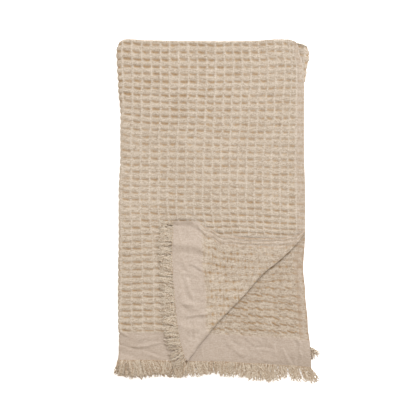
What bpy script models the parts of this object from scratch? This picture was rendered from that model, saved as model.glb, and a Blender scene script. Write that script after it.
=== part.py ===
"""A waffle weave cotton blanket, folded and laid on a flat surface, with one corner turned back.

The blanket is one woven cloth, 1.30 m wide and 1.60 m long with its fringes. It is folded in half
across its length, so that its fringed ends meet, and then in thirds across its width, back and forth.
The lower right corner of the topmost layer is turned back over a slanting roll.

The flat cloth is scored along every crease, given its thickness and then folded point by point. In the
flat cloth u runs across the width from the selvedge that ends on top, v runs along the length from the
front fringe, and w is the height above the cloth's middle surface. Metres throughout, +Z up.
"""

import math
import random

import bmesh
import bpy
from mathutils import Matrix, Vector

# The cloth and the stack that it is folded into.
THICK = 0.0040
LAYER_GAP = 0.0008
PITCH = THICK + LAYER_GAP
FOLDED_LEFT = -0.2207
FOLDED_RIGHT = 0.2207
FOLDED_TOP = 0.3800
HEM_Y = -0.3780
LOWER_RIGHT = 0.2190
LOWER_SELVEDGE = -0.2050

# The middle of the whole outline, fringe included, which is where the origin lies.
CENTRE = Vector((0.0151, -0.0248, 0.0))

# The half fold, across the length: the front half lies half a pitch above the pair's middle plane.
HALF_RADIUS = PITCH / 2
HALF_AXIS_Y = FOLDED_TOP - HALF_RADIUS - THICK / 2
FRONT_LENGTH = HALF_AXIS_Y - HEM_Y
HALF_ARC = math.pi * HALF_RADIUS
CLOTH_LENGTH = 2 * FRONT_LENGTH + HALF_ARC

# The folds in thirds: each turns a pair of layers round the middle plane's radius.
THIRD_RADIUS = PITCH
THIRD_ARC = math.pi * THIRD_RADIUS
PAIR_HALF = HALF_RADIUS + THICK / 2
LEFT_AXIS_X = FOLDED_LEFT + THIRD_RADIUS + PAIR_HALF
RIGHT_AXIS_X = LOWER_RIGHT - THIRD_RADIUS - PAIR_HALF
TOP_WIDTH = FOLDED_RIGHT - LEFT_AXIS_X
MIDDLE_WIDTH = RIGHT_AXIS_X - LEFT_AXIS_X
BOTTOM_WIDTH = RIGHT_AXIS_X - LOWER_SELVEDGE
LEFT_FOLD_U = TOP_WIDTH
MIDDLE_U = LEFT_FOLD_U + THIRD_ARC
RIGHT_FOLD_U = MIDDLE_U + MIDDLE_WIDTH
BOTTOM_U = RIGHT_FOLD_U + THIRD_ARC
CLOTH_WIDTH = BOTTOM_U + BOTTOM_WIDTH
BOTTOM_Z = PAIR_HALF
MIDDLE_Z = BOTTOM_Z + 2 * THIRD_RADIUS
TOP_Z = MIDDLE_Z + 2 * THIRD_RADIUS

# The turned back corner: its roll runs from the right selvedge to the hem.
ROLL_START = Vector((0.2195, -0.0730))
ROLL_END = Vector((-0.0560, -0.3800))
ROLL_RADIUS = 0.0036
ROLL_ARC = math.pi * ROLL_RADIUS
ROLL_ALONG = (ROLL_END - ROLL_START).normalized()
ROLL_OUT = Vector((-ROLL_ALONG.y, ROLL_ALONG.x))
ROLL_SETTLE = 0.030
ROLL_LENGTH = (ROLL_END - ROLL_START).length
CORNER_STRETCH = 1.17
CORNER_SHEAR = -0.150
# How far the roll strays from a straight line, outwards, and how far from it the cloth still follows.
ROLL_BOW = (
    # share of the roll's length, shift
    (0.00, 0.0000),
    (0.08, 0.0060),
    (0.20, 0.0000),
    (0.35, -0.0060),
    (0.50, -0.0055),
    (0.68, -0.0083),
    (0.85, -0.0055),
    (1.00, 0.0000),
)
ROLL_BOW_REACH = 0.090
# How far the turned corner's two edges stray from straight: along its selvedge, up or down the
# blanket, and along its hem, across the blanket.
CORNER_SELVEDGE = (
    # distance from the hem, shift in y
    (0.000, 0.0090),
    (0.050, 0.0120),
    (0.080, 0.0010),
    (0.110, -0.0095),
    (0.175, -0.0140),
    (0.245, -0.0135),
    (0.280, -0.0090),
    (0.305, 0.0000),
)
CORNER_HEM = (
    # distance from the selvedge, shift in x
    (0.000, -0.0025),
    (0.072, -0.0110),
    (0.115, -0.0130),
    (0.181, -0.0158),
    (0.229, -0.0130),
    (0.259, -0.0077),
    (0.280, 0.0000),
)
CORNER_EDGE_REACH = 0.120

# How far the edges of the folded blanket stray from straight: height up the blanket, then the shift
# of the left edge, of the right edge of the stack, of the two top layers' selvedges and of the right
# fold below them.
SIDES = (
    # y, left, right, top selvedges, lower fold
    (-0.420, -0.0010, 0.0000, 0.0185, 0.0060),
    (-0.380, 0.0000, 0.0000, 0.0165, 0.0060),
    (-0.330, 0.0015, 0.0000, 0.0130, 0.0040),
    (-0.280, 0.0010, 0.0000, 0.0075, 0.0020),
    (-0.210, 0.0005, 0.0000, 0.0015, 0.0000),
    (-0.160, 0.0010, -0.0030, 0.0000, 0.0000),
    (-0.080, 0.0025, 0.0015, 0.0000, 0.0000),
    (0.020, 0.0025, 0.0015, 0.0000, 0.0000),
    (0.110, 0.0065, -0.0010, 0.0000, 0.0000),
    (0.200, 0.0065, -0.0010, 0.0000, 0.0000),
    (0.270, 0.0010, 0.0000, -0.0010, 0.0020),
    (0.320, -0.0015, 0.0010, -0.0060, 0.0080),
    (0.350, -0.0030, 0.0000, -0.0130, 0.0150),
    (0.385, -0.0010, 0.0000, -0.0170, 0.0140),
)
# How far the top fold and the hems stray: place across the blanket, then the shift of the top fold,
# and of the hem of the front top layer, of the back top layer and of the layers below.
ENDS = (
    # x, top fold, front hem, back hem, lower hems
    (-0.225, -0.0010, 0.0030, 0.0025, 0.0030),
    (-0.200, 0.0020, 0.0030, 0.0015, 0.0040),
    (-0.140, -0.0010, 0.0030, 0.0000, 0.0090),
    (-0.060, -0.0020, 0.0000, -0.0005, 0.0110),
    (0.020, -0.0030, 0.0000, -0.0010, 0.0130),
    (0.100, -0.0025, 0.0000, -0.0060, 0.0200),
    (0.170, 0.0015, 0.0000, -0.0110, 0.0320),
    (0.225, 0.0010, 0.0000, -0.0150, 0.0380),
)
END_REACH = 0.26
SELVEDGE_GATHER = 3
LOWER_CORNER_DROP = 0.012
LOWER_CORNER_GATHER = 8
CORNER_ROUND = 0.030
CORNER_PULL = 0.0050

# The loft of the stack: it swells where it is folded and waves a little everywhere.
FOLD_LOFT = 0.10
FOLD_LOFT_REACH = 0.030
WAVES = (
    # height as a share of the stack, wavelength in x, wavelength in y, phase
    (0.030, 0.310, 0.470, 0.4),
    (0.020, -0.190, 0.330, 2.1),
    (0.012, 0.420, -0.170, 4.0),
)
# Past the hems of the lower layers the upper ones sag to the floor, and their fringe lies flatter.
TOP_PAIR_FLOOR = TOP_Z - PAIR_HALF - LAYER_GAP / 2
SAG_SHARE = 0.80
SAG_START = 0.007
SAG_REACH = 0.058
SQUEEZE_SHARE = 0.60
SQUEEZE_REACH = 0.045

# The fringe: a narrow heading along each hem, with the strands growing out of it.
HEADING_GAP = 0.0003
HEADING_WIDTH = 0.0030
HEADING_THICK = 0.0022
HEADING_INSET = 0.0010
STRAND_LENGTH = 0.0375
STRAND_SPREAD = 0.0040
STRAND_WAIST = 0.52
STRAND_TIP = 0.34
WAIST_PLACE = 0.50
SHOWN_STRAND_PITCH = 0.0076
HIDDEN_STRAND_PITCH = 0.0155
LEAST_STRAND_PITCH = 0.0050
STRAND_DRIFT = 0.30
CORNER_LEAN = 0.42
CORNER_LEAN_REACH = 0.090
FOLD_LEAN = 1.10
STRAND_WAVES = (
    # angle, wavelength along the hem
    (0.120, 0.113),
    (0.060, 0.049),
)

# The mesh: the largest face, the steps round each fold, and the last step before a sagging hem.
FACE_SIZE = 0.048
NEAR_EDGE = 0.0001
ON_LINE = 1e-6
THIRD_STEPS = 6
HALF_STEPS = 4
ROLL_STEPS = 5
SAG_STEP = 0.024
SHARP_ANGLE = math.radians(50)

COTTON = (0.600, 0.485, 0.360, 1.0)
FRINGE_COTTON = (0.520, 0.415, 0.290, 1.0)
ROUGHNESS = 0.92


def ease(t):
    """0 to 1, level at both ends."""
    t = min(1.0, max(0.0, t))
    return t * t * (3 - 2 * t)


def read_table(table, at, column):
    """A column of a table at a place between its rows, in smooth steps."""
    if at <= table[0][0]:
        return table[0][column]
    for low, high in zip(table, table[1:]):
        if at <= high[0]:
            share = ease((at - low[0]) / (high[0] - low[0]))
            return low[column] + share * (high[column] - low[column])
    return table[-1][column]


def fold_in_half(v, w):
    """(y, h): the place along the folded length, and the height over the pair's middle plane."""
    if v <= FRONT_LENGTH:
        return HEM_Y + v, HALF_RADIUS + w
    turned = v - FRONT_LENGTH
    if turned <= HALF_ARC:
        angle = turned / HALF_RADIUS
        return HALF_AXIS_Y + (HALF_RADIUS + w) * math.sin(angle), (HALF_RADIUS + w) * math.cos(angle)
    return HALF_AXIS_Y - (turned - HALF_ARC), -(HALF_RADIUS + w)


def fold_in_thirds(u, h):
    """(x, z) of a point h above the pair's middle plane, in the stack of thirds."""
    if u <= LEFT_FOLD_U:
        return FOLDED_RIGHT - u, TOP_Z + h
    if u <= MIDDLE_U:
        angle = (u - LEFT_FOLD_U) / THIRD_RADIUS
        reach = THIRD_RADIUS + h
        return LEFT_AXIS_X - reach * math.sin(angle), TOP_Z - THIRD_RADIUS + reach * math.cos(angle)
    if u <= RIGHT_FOLD_U:
        return LEFT_AXIS_X + u - MIDDLE_U, MIDDLE_Z - h
    if u <= BOTTOM_U:
        angle = (u - RIGHT_FOLD_U) / THIRD_RADIUS
        reach = THIRD_RADIUS - h
        return RIGHT_AXIS_X + reach * math.sin(angle), MIDDLE_Z - THIRD_RADIUS + reach * math.cos(angle)
    return RIGHT_AXIS_X - (u - BOTTOM_U), BOTTOM_Z + h


def beyond_roll(u, v):
    """How far a point of the front top layer lies past the axis of the corner's roll, in the flat."""
    flat = Vector((FOLDED_RIGHT - u, HEM_Y + v))
    return (flat - ROLL_START).dot(ROLL_OUT) + ROLL_RADIUS + THICK / 2


def turn_corner_back(x, y, w, beyond):
    """A point of the front top layer that lies beyond the roll's axis, rolled up and over."""
    foot = Vector((x, y)) - ROLL_OUT * beyond
    level = TOP_Z + HALF_RADIUS
    if beyond <= ROLL_ARC:
        angle = beyond / ROLL_RADIUS
        reach = ROLL_RADIUS - w
        foot += ROLL_OUT * reach * math.sin(angle)
        return foot.x, foot.y, level + ROLL_RADIUS - reach * math.cos(angle)
    past = beyond - ROLL_ARC
    foot += ROLL_ALONG * CORNER_SHEAR * past - ROLL_OUT * CORNER_STRETCH * past
    lift = PITCH + (2 * ROLL_RADIUS - PITCH) * math.exp(-past / ROLL_SETTLE)
    return foot.x, foot.y, level + lift - w


def corner_shift(x, y, u, v, on_corner):
    """How far the front top layer strays round its roll and at its turned corner, as (dx, dy)."""
    from_start = Vector((x, y)) - ROLL_START
    nearness = ease(1 - abs(from_start.dot(ROLL_OUT)) / ROLL_BOW_REACH)
    bow = read_table(ROLL_BOW, from_start.dot(ROLL_ALONG) / ROLL_LENGTH, 1) * nearness
    at_hem = read_table(CORNER_HEM, u, 1) * ease(1 - v / CORNER_EDGE_REACH)
    at_selvedge = read_table(CORNER_SELVEDGE, v, 1) * ease(1 - u / CORNER_EDGE_REACH)
    return ROLL_OUT.x * bow + at_hem * on_corner, ROLL_OUT.y * bow + at_selvedge * on_corner


def edge_shift(x, y, top_share, on_front, on_corner):
    """How far the cloth strays from its straight folded place, as (dx, dy).

    top_share is 1 in the top pair of layers and 0 below, and on_corner is 1 past the corner's roll.
    """
    across = (x - FOLDED_LEFT) / (FOLDED_RIGHT - FOLDED_LEFT)
    outer = max(0.0, across)
    low_share = 1 - top_share
    near_top = ease(1 - (FOLDED_TOP - y) / END_REACH)
    near_hem = ease(1 - (y - HEM_Y) / END_REACH)
    dx = read_table(SIDES, y, 1) * (1 - across) + read_table(SIDES, y, 2) * across
    dy = read_table(ENDS, x, 1) * near_top
    own_dx = top_share * read_table(SIDES, y, 3) + low_share * read_table(SIDES, y, 4)
    own_dy = top_share * read_table(ENDS, x, 2 if on_front else 3) + low_share * read_table(ENDS, x, 4)
    dx += (1 - on_corner) * own_dx * outer ** SELVEDGE_GATHER
    dy += (1 - on_corner) * own_dy * near_hem
    dy -= low_share * LOWER_CORNER_DROP * outer ** LOWER_CORNER_GATHER * near_top
    from_top = max(0.0, 1 - (FOLDED_TOP - y) / CORNER_ROUND)
    from_left = max(0.0, 1 - (x - FOLDED_LEFT) / CORNER_ROUND)
    from_right = max(0.0, 1 - (FOLDED_RIGHT - x) / CORNER_ROUND)
    pull = CORNER_PULL * from_top ** 2
    return (
        dx + pull * (from_left ** 2 - from_right ** 2),
        dy - pull * (from_left ** 2 + from_right ** 2),
    )


def loft(x, y):
    """The share by which the stack stands higher than its flat layers at this place."""
    share = 1 + sum(
        height * math.sin(2 * math.pi * (x / across + y / along) + phase)
        for height, across, along, phase in WAVES
    )
    for distance in (x - FOLDED_LEFT, FOLDED_RIGHT - x, FOLDED_TOP - y):
        share += FOLD_LOFT * math.exp(-max(0.0, distance) / FOLD_LOFT_REACH)
    return share


def fold(u, v, w):
    """Where a point of the flat cloth comes to lie in level layers, before they settle."""
    y, h = fold_in_half(v, w)
    x, z = fold_in_thirds(u, h)
    top_share = 1 - ease((u - LEFT_FOLD_U) / THIRD_ARC)
    on_front = v <= FRONT_LENGTH
    if not on_front or u > LEFT_FOLD_U:
        dx, dy = edge_shift(x, y, top_share, on_front, 0.0)
        return Vector((x + dx, y + dy, z))
    beyond = beyond_roll(u, v)
    on_corner = ease(beyond / ROLL_ARC)
    if beyond > 0:
        x, y, z = turn_corner_back(x, y, w, beyond)
    dx, dy = edge_shift(x, y, top_share, on_front, on_corner)
    corner_dx, corner_dy = corner_shift(x, y, u, v, on_corner)
    return Vector((x + dx + corner_dx, y + dy + corner_dy, z))


def settle(place):
    """Raises or lowers a point with the stack at its place, so that no layer crosses another."""
    x, y, z = place
    past_lower_hems = HEM_Y + read_table(ENDS, x, 4) - SAG_START - y
    past_hem = max(0.0, HEM_Y + read_table(ENDS, x, 3) - y)
    under = min(z, TOP_PAIR_FLOOR) * (1 - SAG_SHARE * ease(past_lower_hems / SAG_REACH))
    above = max(0.0, z - TOP_PAIR_FLOOR) * (1 - SQUEEZE_SHARE * past_hem / SQUEEZE_REACH)
    return Vector((x, y, (under + above) * loft(x, y))) - CENTRE


def score(bm, place, direction, where=lambda middle: True):
    """Cuts the flat sheet along a line, in the faces whose middle passes the test."""
    faces = [face for face in bm.faces if where(face.calc_center_median())]
    edges = {edge for face in faces for edge in face.edges}
    verts = {vert for face in faces for vert in face.verts}
    bmesh.ops.bisect_plane(
        bm,
        geom=[*verts, *edges, *faces],
        dist=ON_LINE,
        plane_co=place,
        plane_no=direction,
    )


def score_creases(bm):
    """Cuts the flat cloth along every step of its folds, so that each fold bends on its own edges."""
    for start in (LEFT_FOLD_U, RIGHT_FOLD_U):
        for step in range(THIRD_STEPS + 1):
            score(bm, (start + THIRD_ARC * step / THIRD_STEPS, 0, 0), (1, 0, 0))
    for step in range(HALF_STEPS + 1):
        score(bm, (0, FRONT_LENGTH + HALF_ARC * step / HALF_STEPS, 0), (0, 1, 0))
    for place in (SAG_STEP, CLOTH_LENGTH - SAG_STEP):
        score(bm, (0, place, 0), (0, 1, 0))
    along_u = Vector((-ROLL_OUT.x, ROLL_OUT.y, 0))
    start = Vector((FOLDED_RIGHT - ROLL_START.x, ROLL_START.y - HEM_Y, 0))
    axis = start - along_u * (ROLL_RADIUS + THICK / 2)
    for step in range(ROLL_STEPS + 1):
        score(
            bm,
            axis + along_u * ROLL_ARC * step / ROLL_STEPS,
            along_u,
            lambda middle: middle.x < LEFT_FOLD_U and middle.y < FRONT_LENGTH,
        )


def flat_sheet(bm, low, high, columns, rows):
    """A flat sheet of equal faces between two corners of the cloth, u and v."""
    made = bmesh.ops.create_grid(bm, x_segments=columns, y_segments=rows, size=0.5)
    for vert in made["verts"]:
        vert.co.x = low[0] + (vert.co.x + 0.5) * (high[0] - low[0])
        vert.co.y = low[1] + (vert.co.y + 0.5) * (high[1] - low[1])


def thicken(bm, thick):
    """Makes the flat sheet a slab, half its thickness to each side of its middle surface."""
    for vert in bm.verts:
        vert.co.z = -thick / 2
    made = bmesh.ops.extrude_face_region(bm, geom=bm.faces[:])
    for item in made["geom"]:
        if isinstance(item, bmesh.types.BMVert):
            item.co.z = thick / 2
    bmesh.ops.recalc_face_normals(bm, faces=bm.faces[:])


def finish(bm, name, collection, material):
    """A named object of the mesh, in the blanket's collection."""
    bmesh.ops.triangulate(bm, faces=bm.faces[:])
    bmesh.ops.recalc_face_normals(bm, faces=bm.faces[:])
    mesh = bpy.data.meshes.new(name)
    bm.to_mesh(mesh)
    bm.free()
    mesh.materials.append(material)
    mesh.shade_smooth()
    mesh.set_sharp_from_angle(angle=SHARP_ANGLE)
    made = bpy.data.objects.new(name, mesh)
    collection.objects.link(made)
    return made


def cotton(name, colour):
    material = bpy.data.materials.new(name)
    material.use_nodes = True
    shader = material.node_tree.nodes["Principled BSDF"]
    shader.inputs["Base Color"].default_value = colour
    shader.inputs["Roughness"].default_value = ROUGHNESS
    shader.inputs["Metallic"].default_value = 0.0
    return material


def make_cloth(collection, material):
    """The whole cloth: waffle field, plain end bands and selvedges, in one piece.

    Gives the places along the front hem and the back hem where the cloth bends.
    """
    bm = bmesh.new()
    columns = round(CLOTH_WIDTH / FACE_SIZE)
    rows = round(CLOTH_LENGTH / FACE_SIZE)
    flat_sheet(bm, (0, 0), (CLOTH_WIDTH, CLOTH_LENGTH), columns, rows)
    score_creases(bm)
    front_bends = sorted(vert.co.x for vert in bm.verts if vert.co.y < NEAR_EDGE)
    back_bends = sorted(vert.co.x for vert in bm.verts if vert.co.y > CLOTH_LENGTH - NEAR_EDGE)
    thicken(bm, THICK)
    for vert in bm.verts:
        vert.co = settle(fold(*vert.co))
    finish(bm, "blanket_cloth", collection, material)
    return front_bends, back_bends


def strand_lean(u):
    """The angle at which a strand leans out at the blanket's right fold and right corner."""
    if RIGHT_FOLD_U < u < BOTTOM_U:
        return FOLD_LEAN * math.sin(math.pi * (u - RIGHT_FOLD_U) / THIRD_ARC)
    return CORNER_LEAN * ease(1 - u / CORNER_LEAN_REACH)


def heading_stations(bends, low_u, high_u):
    """Places along a heading: every bend of the cloth's hem, and one for each strand between them."""
    inner = [bend for bend in bends if low_u < bend < high_u]
    stations = [low_u]
    for place in [*inner, high_u]:
        pitch = SHOWN_STRAND_PITCH if place < MIDDLE_U else HIDDEN_STRAND_PITCH
        steps = max(1, round((place - stations[-1]) / pitch))
        start = stations[-1]
        stations += [start + (place - start) * (step + 1) / steps for step in range(steps)]
    return stations


def fold_on_chord(u, v, w, bends):
    """A point of the fringe, carried by the straight run of the hem between two of its bends."""
    for low, high in zip(bends, bends[1:]):
        if u <= high:
            break
    share = (u - low) / (high - low)
    return fold(low, v, w).lerp(fold(high, v, w), share)


def strand_way(u, heading_v, hem_v, bends, on_corner):
    """The level way in which a strand grows: down from the hems, and straight out from the corner's."""
    angle = sum(lean * math.sin(2 * math.pi * u / length) for lean, length in STRAND_WAVES)
    if on_corner:
        way = fold_on_chord(u, heading_v, 0, bends) - fold_on_chord(u, hem_v, 0, bends)
        way.z = 0
    else:
        way = Vector((0, -1, 0))
        angle += strand_lean(u)
    way.rotate(Matrix.Rotation(angle, 3, "Z"))
    return way.normalized()


def grow_strand(bm, root, chance, thick_at_tip):
    """Draws a root face of the flat heading out into a strand of two steps and four sides.

    Gives each new point with how far out of the heading it lies.
    """
    middle = sum(vert.co.x for vert in root.verts) / len(root.verts)
    half_width = max(abs(vert.co.x - middle) for vert in root.verts)
    length = STRAND_LENGTH + chance.uniform(-STRAND_SPREAD, STRAND_SPREAD)
    grown = []
    for share, width in ((WAIST_PLACE, STRAND_WAIST), (1.0, STRAND_TIP)):
        made = bmesh.ops.extrude_discrete_faces(bm, faces=[root])
        root = made["faces"][0]
        thick = HEADING_THICK + (thick_at_tip - HEADING_THICK) * share
        drift = chance.uniform(-STRAND_DRIFT, STRAND_DRIFT) * half_width
        for vert in root.verts:
            side = math.copysign(half_width * width, vert.co.x - middle)
            vert.co.x = middle + side + drift
            vert.co.z = math.copysign(thick / 2, vert.co.z)
            grown.append((vert, length * share))
    return grown


def strand_roots(bm, far_v):
    """The faces of a flat heading that strands grow from, in order and never too close together."""
    faces = [
        face
        for face in bm.faces
        if all(abs(vert.co.y - far_v) < NEAR_EDGE for vert in face.verts)
    ]
    faces.sort(key=lambda face: face.calc_center_median().x)
    roots = []
    last = -LEAST_STRAND_PITCH
    for face in faces:
        middle = face.calc_center_median().x
        if middle - last >= LEAST_STRAND_PITCH:
            roots.append(face)
            last = middle
    return roots


def make_fringe(name, collection, material, bends, span, hem_v, out_v, seed):
    """A heading along a hem between two places, with its strands, as one piece."""
    chance = random.Random(seed)
    stations = heading_stations(bends, *span)
    near_v = hem_v + out_v * HEADING_GAP
    far_v = near_v + out_v * HEADING_WIDTH
    on_corner = span[1] < LEFT_FOLD_U
    bm = bmesh.new()
    flat_sheet(bm, (0, near_v), (1, far_v), len(stations) - 1, 1)
    thicken(bm, HEADING_THICK)
    for vert in bm.verts:
        vert.co.x = stations[round(vert.co.x * (len(stations) - 1))]
    reach = {}
    for root in strand_roots(bm, far_v):
        way = strand_way(root.calc_center_median().x, far_v, hem_v, bends, on_corner)
        on_floor = out_v > 0 and root.calc_center_median().x > BOTTOM_U
        for vert, out in grow_strand(bm, root, chance, THICK if on_floor else HEADING_THICK):
            reach[vert] = way * out
    for vert in bm.verts:
        vert.co = settle(fold_on_chord(*vert.co, bends) + reach.get(vert, Vector()))
    return finish(bm, name, collection, material)


def hem_place(beyond):
    """The place along the front hem that lies this far past the axis of the corner's roll."""
    return (beyond_roll(0, 0) - beyond) / ROLL_OUT.x


def build():
    for old in list(bpy.data.objects):
        bpy.data.objects.remove(old, do_unlink=True)
    collection = bpy.data.collections.new("waffle_blanket")
    bpy.context.scene.collection.children.link(collection)
    cloth = cotton("natural cotton", COTTON)
    yarn = cotton("fringe cotton", FRINGE_COTTON)
    front_bends, back_bends = make_cloth(collection, cloth)
    low_u = HEADING_INSET
    high_u = CLOTH_WIDTH - HEADING_INSET
    corner = (low_u, hem_place(ROLL_ARC + HEADING_INSET))
    front = (hem_place(0.0), high_u)
    make_fringe("fringe_corner", collection, yarn, front_bends, corner, 0.0, -1, seed=3)
    make_fringe("fringe_front", collection, yarn, front_bends, front, 0.0, -1, seed=5)
    make_fringe("fringe_back", collection, yarn, back_bends, (low_u, high_u), CLOTH_LENGTH, 1, seed=8)


build()
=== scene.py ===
"""The looks of the waffle weave cotton blanket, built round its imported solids.

The cloth is one grid of points in the flat, folded by the same rules as the solid: in half across its
length, in thirds across its width, and its top corner turned back over a roll. The flat cloth has the
true waffle relief on its front and on its back, plain-woven bands at its ends and plain selvedge strips
along its sides. u runs across the width from the selvedge that ends on top, v runs along the length
from the front fringe, and w is the height above the cloth's middle surface. Metres, +Z up, but for
the tables of drift and of creases, which are in millimetres.
"""

import math

import bpy
import numpy as np
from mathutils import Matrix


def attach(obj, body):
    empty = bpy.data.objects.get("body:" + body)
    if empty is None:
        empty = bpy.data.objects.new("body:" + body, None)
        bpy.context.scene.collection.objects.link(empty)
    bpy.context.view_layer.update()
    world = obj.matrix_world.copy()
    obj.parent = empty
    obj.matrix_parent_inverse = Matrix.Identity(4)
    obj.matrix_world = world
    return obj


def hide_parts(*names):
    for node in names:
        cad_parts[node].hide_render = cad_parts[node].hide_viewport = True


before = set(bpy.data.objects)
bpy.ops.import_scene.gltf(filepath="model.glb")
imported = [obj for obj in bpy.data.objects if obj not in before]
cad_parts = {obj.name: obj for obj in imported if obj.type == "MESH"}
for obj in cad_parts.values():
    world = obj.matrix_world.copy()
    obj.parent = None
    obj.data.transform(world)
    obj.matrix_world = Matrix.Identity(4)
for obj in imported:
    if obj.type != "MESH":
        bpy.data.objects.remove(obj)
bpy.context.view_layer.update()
MILLIMETRE = 0.001

# ---- the fold

# The layers are folded as in the solids. The corner's roll is thinner here, its fold line and its
# selvedge run a little differently, the overhanging hem sags less, and the last two waves are added.
THICK = 0.0040
LAYER_GAP = 0.0008
PITCH = THICK + LAYER_GAP
FOLDED_LEFT = -0.2207
FOLDED_RIGHT = 0.2207
FOLDED_TOP = 0.3800
HEM_Y = -0.3780
LOWER_RIGHT = 0.2190
LOWER_SELVEDGE = -0.2050
CENTRE = (0.0151, -0.0248)

HALF_RADIUS = PITCH / 2
HALF_AXIS_Y = FOLDED_TOP - HALF_RADIUS - THICK / 2
FRONT_LENGTH = HALF_AXIS_Y - HEM_Y
HALF_ARC = math.pi * HALF_RADIUS
CLOTH_LENGTH = 2 * FRONT_LENGTH + HALF_ARC

THIRD_RADIUS = PITCH
THIRD_ARC = math.pi * THIRD_RADIUS
PAIR_HALF = HALF_RADIUS + THICK / 2
LEFT_AXIS_X = FOLDED_LEFT + THIRD_RADIUS + PAIR_HALF
RIGHT_AXIS_X = LOWER_RIGHT - THIRD_RADIUS - PAIR_HALF
MIDDLE_WIDTH = RIGHT_AXIS_X - LEFT_AXIS_X
LEFT_FOLD_U = FOLDED_RIGHT - LEFT_AXIS_X
MIDDLE_U = LEFT_FOLD_U + THIRD_ARC
RIGHT_FOLD_U = MIDDLE_U + MIDDLE_WIDTH
BOTTOM_U = RIGHT_FOLD_U + THIRD_ARC
CLOTH_WIDTH = BOTTOM_U + RIGHT_AXIS_X - LOWER_SELVEDGE
BOTTOM_Z = PAIR_HALF
MIDDLE_Z = BOTTOM_Z + 2 * THIRD_RADIUS
TOP_Z = MIDDLE_Z + 2 * THIRD_RADIUS

ROLL_START = np.array((0.2195, -0.0730))
ROLL_END = np.array((-0.0560, -0.3800))
ROLL_RADIUS = 0.0026
ROLL_ARC = math.pi * ROLL_RADIUS
ROLL_LENGTH = float(np.hypot(*(ROLL_END - ROLL_START)))
ROLL_ALONG = (ROLL_END - ROLL_START) / ROLL_LENGTH
ROLL_OUT = np.array((-ROLL_ALONG[1], ROLL_ALONG[0]))
ROLL_SETTLE = 0.030
CORNER_STRETCH = 1.17
CORNER_SHEAR = -0.150
ROLL_BOW = (
    # share of the roll's length, shift
    (0.00, 0.0000), (0.08, 0.0005), (0.20, -0.0020), (0.35, -0.0060), (0.50, -0.0055), (0.68, -0.0083),
    (0.85, -0.0055), (1.00, 0.0000),
)
ROLL_BOW_REACH = 0.090
CORNER_SELVEDGE = (
    # distance from the hem, shift in y
    (0.000, 0.0115), (0.052, 0.0135), (0.080, 0.0000), (0.112, -0.0155), (0.175, -0.0200),
    (0.245, -0.0180), (0.280, -0.0105), (0.305, 0.0000),
)
CORNER_HEM = (
    # distance from the selvedge, shift in x
    (0.000, -0.0025), (0.072, -0.0110), (0.115, -0.0130), (0.181, -0.0158), (0.229, -0.0130),
    (0.259, -0.0077), (0.280, 0.0000),
)
CORNER_EDGE_REACH = 0.120
SIDES = (
    # y, left, right, top selvedges, lower fold
    (-0.420, -0.0010, 0.0000, 0.0185, 0.0060),
    (-0.380, 0.0000, 0.0000, 0.0165, 0.0060),
    (-0.330, 0.0015, 0.0000, 0.0130, 0.0040),
    (-0.280, 0.0010, 0.0000, 0.0075, 0.0020),
    (-0.210, 0.0005, 0.0000, 0.0015, 0.0000),
    (-0.160, 0.0010, -0.0030, 0.0000, 0.0000),
    (-0.080, 0.0025, 0.0015, 0.0000, 0.0000),
    (0.020, 0.0025, 0.0015, 0.0000, 0.0000),
    (0.110, 0.0065, -0.0010, 0.0000, 0.0000),
    (0.200, 0.0065, -0.0010, 0.0000, 0.0000),
    (0.270, 0.0010, 0.0000, -0.0010, 0.0020),
    (0.320, -0.0015, 0.0010, -0.0060, 0.0080),
    (0.350, -0.0030, 0.0000, -0.0130, 0.0150),
    (0.385, -0.0010, 0.0000, -0.0170, 0.0140),
)
ENDS = (
    # x, top fold, front hem, back hem, lower hems
    (-0.225, -0.0010, 0.0030, 0.0025, 0.0030),
    (-0.200, 0.0020, 0.0030, 0.0015, 0.0040),
    (-0.140, -0.0010, 0.0030, 0.0000, 0.0090),
    (-0.060, -0.0020, 0.0000, -0.0005, 0.0110),
    (0.020, -0.0030, 0.0000, -0.0010, 0.0130),
    (0.100, -0.0025, 0.0000, -0.0060, 0.0200),
    (0.170, 0.0015, 0.0000, -0.0110, 0.0320),
    (0.225, 0.0010, 0.0000, -0.0150, 0.0380),
)
END_REACH = 0.26
SELVEDGE_GATHER = 3
LOWER_CORNER_DROP = 0.012
LOWER_CORNER_GATHER = 8
CORNER_ROUND = 0.030
CORNER_PULL = 0.0050
FOLD_LOFT = 0.10
FOLD_LOFT_REACH = 0.030
WAVES = (
    # height as a share of the stack, wavelength in x, wavelength in y, phase
    (0.030, 0.310, 0.470, 0.4), (0.020, -0.190, 0.330, 2.1), (0.012, 0.420, -0.170, 4.0),
    (0.010, 0.120, 0.095, 1.3), (0.009, -0.088, 0.140, 5.2),
)
TOP_PAIR_FLOOR = TOP_Z - PAIR_HALF - LAYER_GAP / 2
SAG_SHARE = 0.62
SAG_START = 0.007
SAG_REACH = 0.070
SQUEEZE_SHARE = 0.60
SQUEEZE_REACH = 0.045

# ---- the weave

# Cells are counted in k across the width, from the strip along the top selvedge, and in m along the
# length, from the front band. They are narrower near the selvedge and shorter near the bands.
SELVEDGE_WIDTH = 0.0219
COLUMN_FIRST = 0.01934
COLUMN_GROWTH = 0.0000637
GROWING_COLUMNS = 20
COLUMNS = 59
STRIP_RELIEF = 0.11
STRIP_EDGE = (-0.10, 0.12)
STRIP_TINT = 0.60
STRIP_TINT_EDGE = (0.2, 0.0)
STRIP_RIDGES = 3.0
STRIP_RIDGE = 0.00028
RIDGE_IN_FRONT = 0.4
# How far the strip's ridges lighten and darken the shown relief as painted shade, in front and behind.
RIDGE_PAINTED_SHADES = (0.12, 0.35)
BAND_WIDTH = 0.0616
BAND_CELLS = 4
BAND_EDGE = (0.02, 0.38)
ROW_FIRST = 0.01600
ROWS = 84
ROW_GROWTH = (CLOTH_LENGTH / 2 - BAND_WIDTH - ROW_FIRST * ROWS / 2) / (ROWS / 2) ** 2

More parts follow.
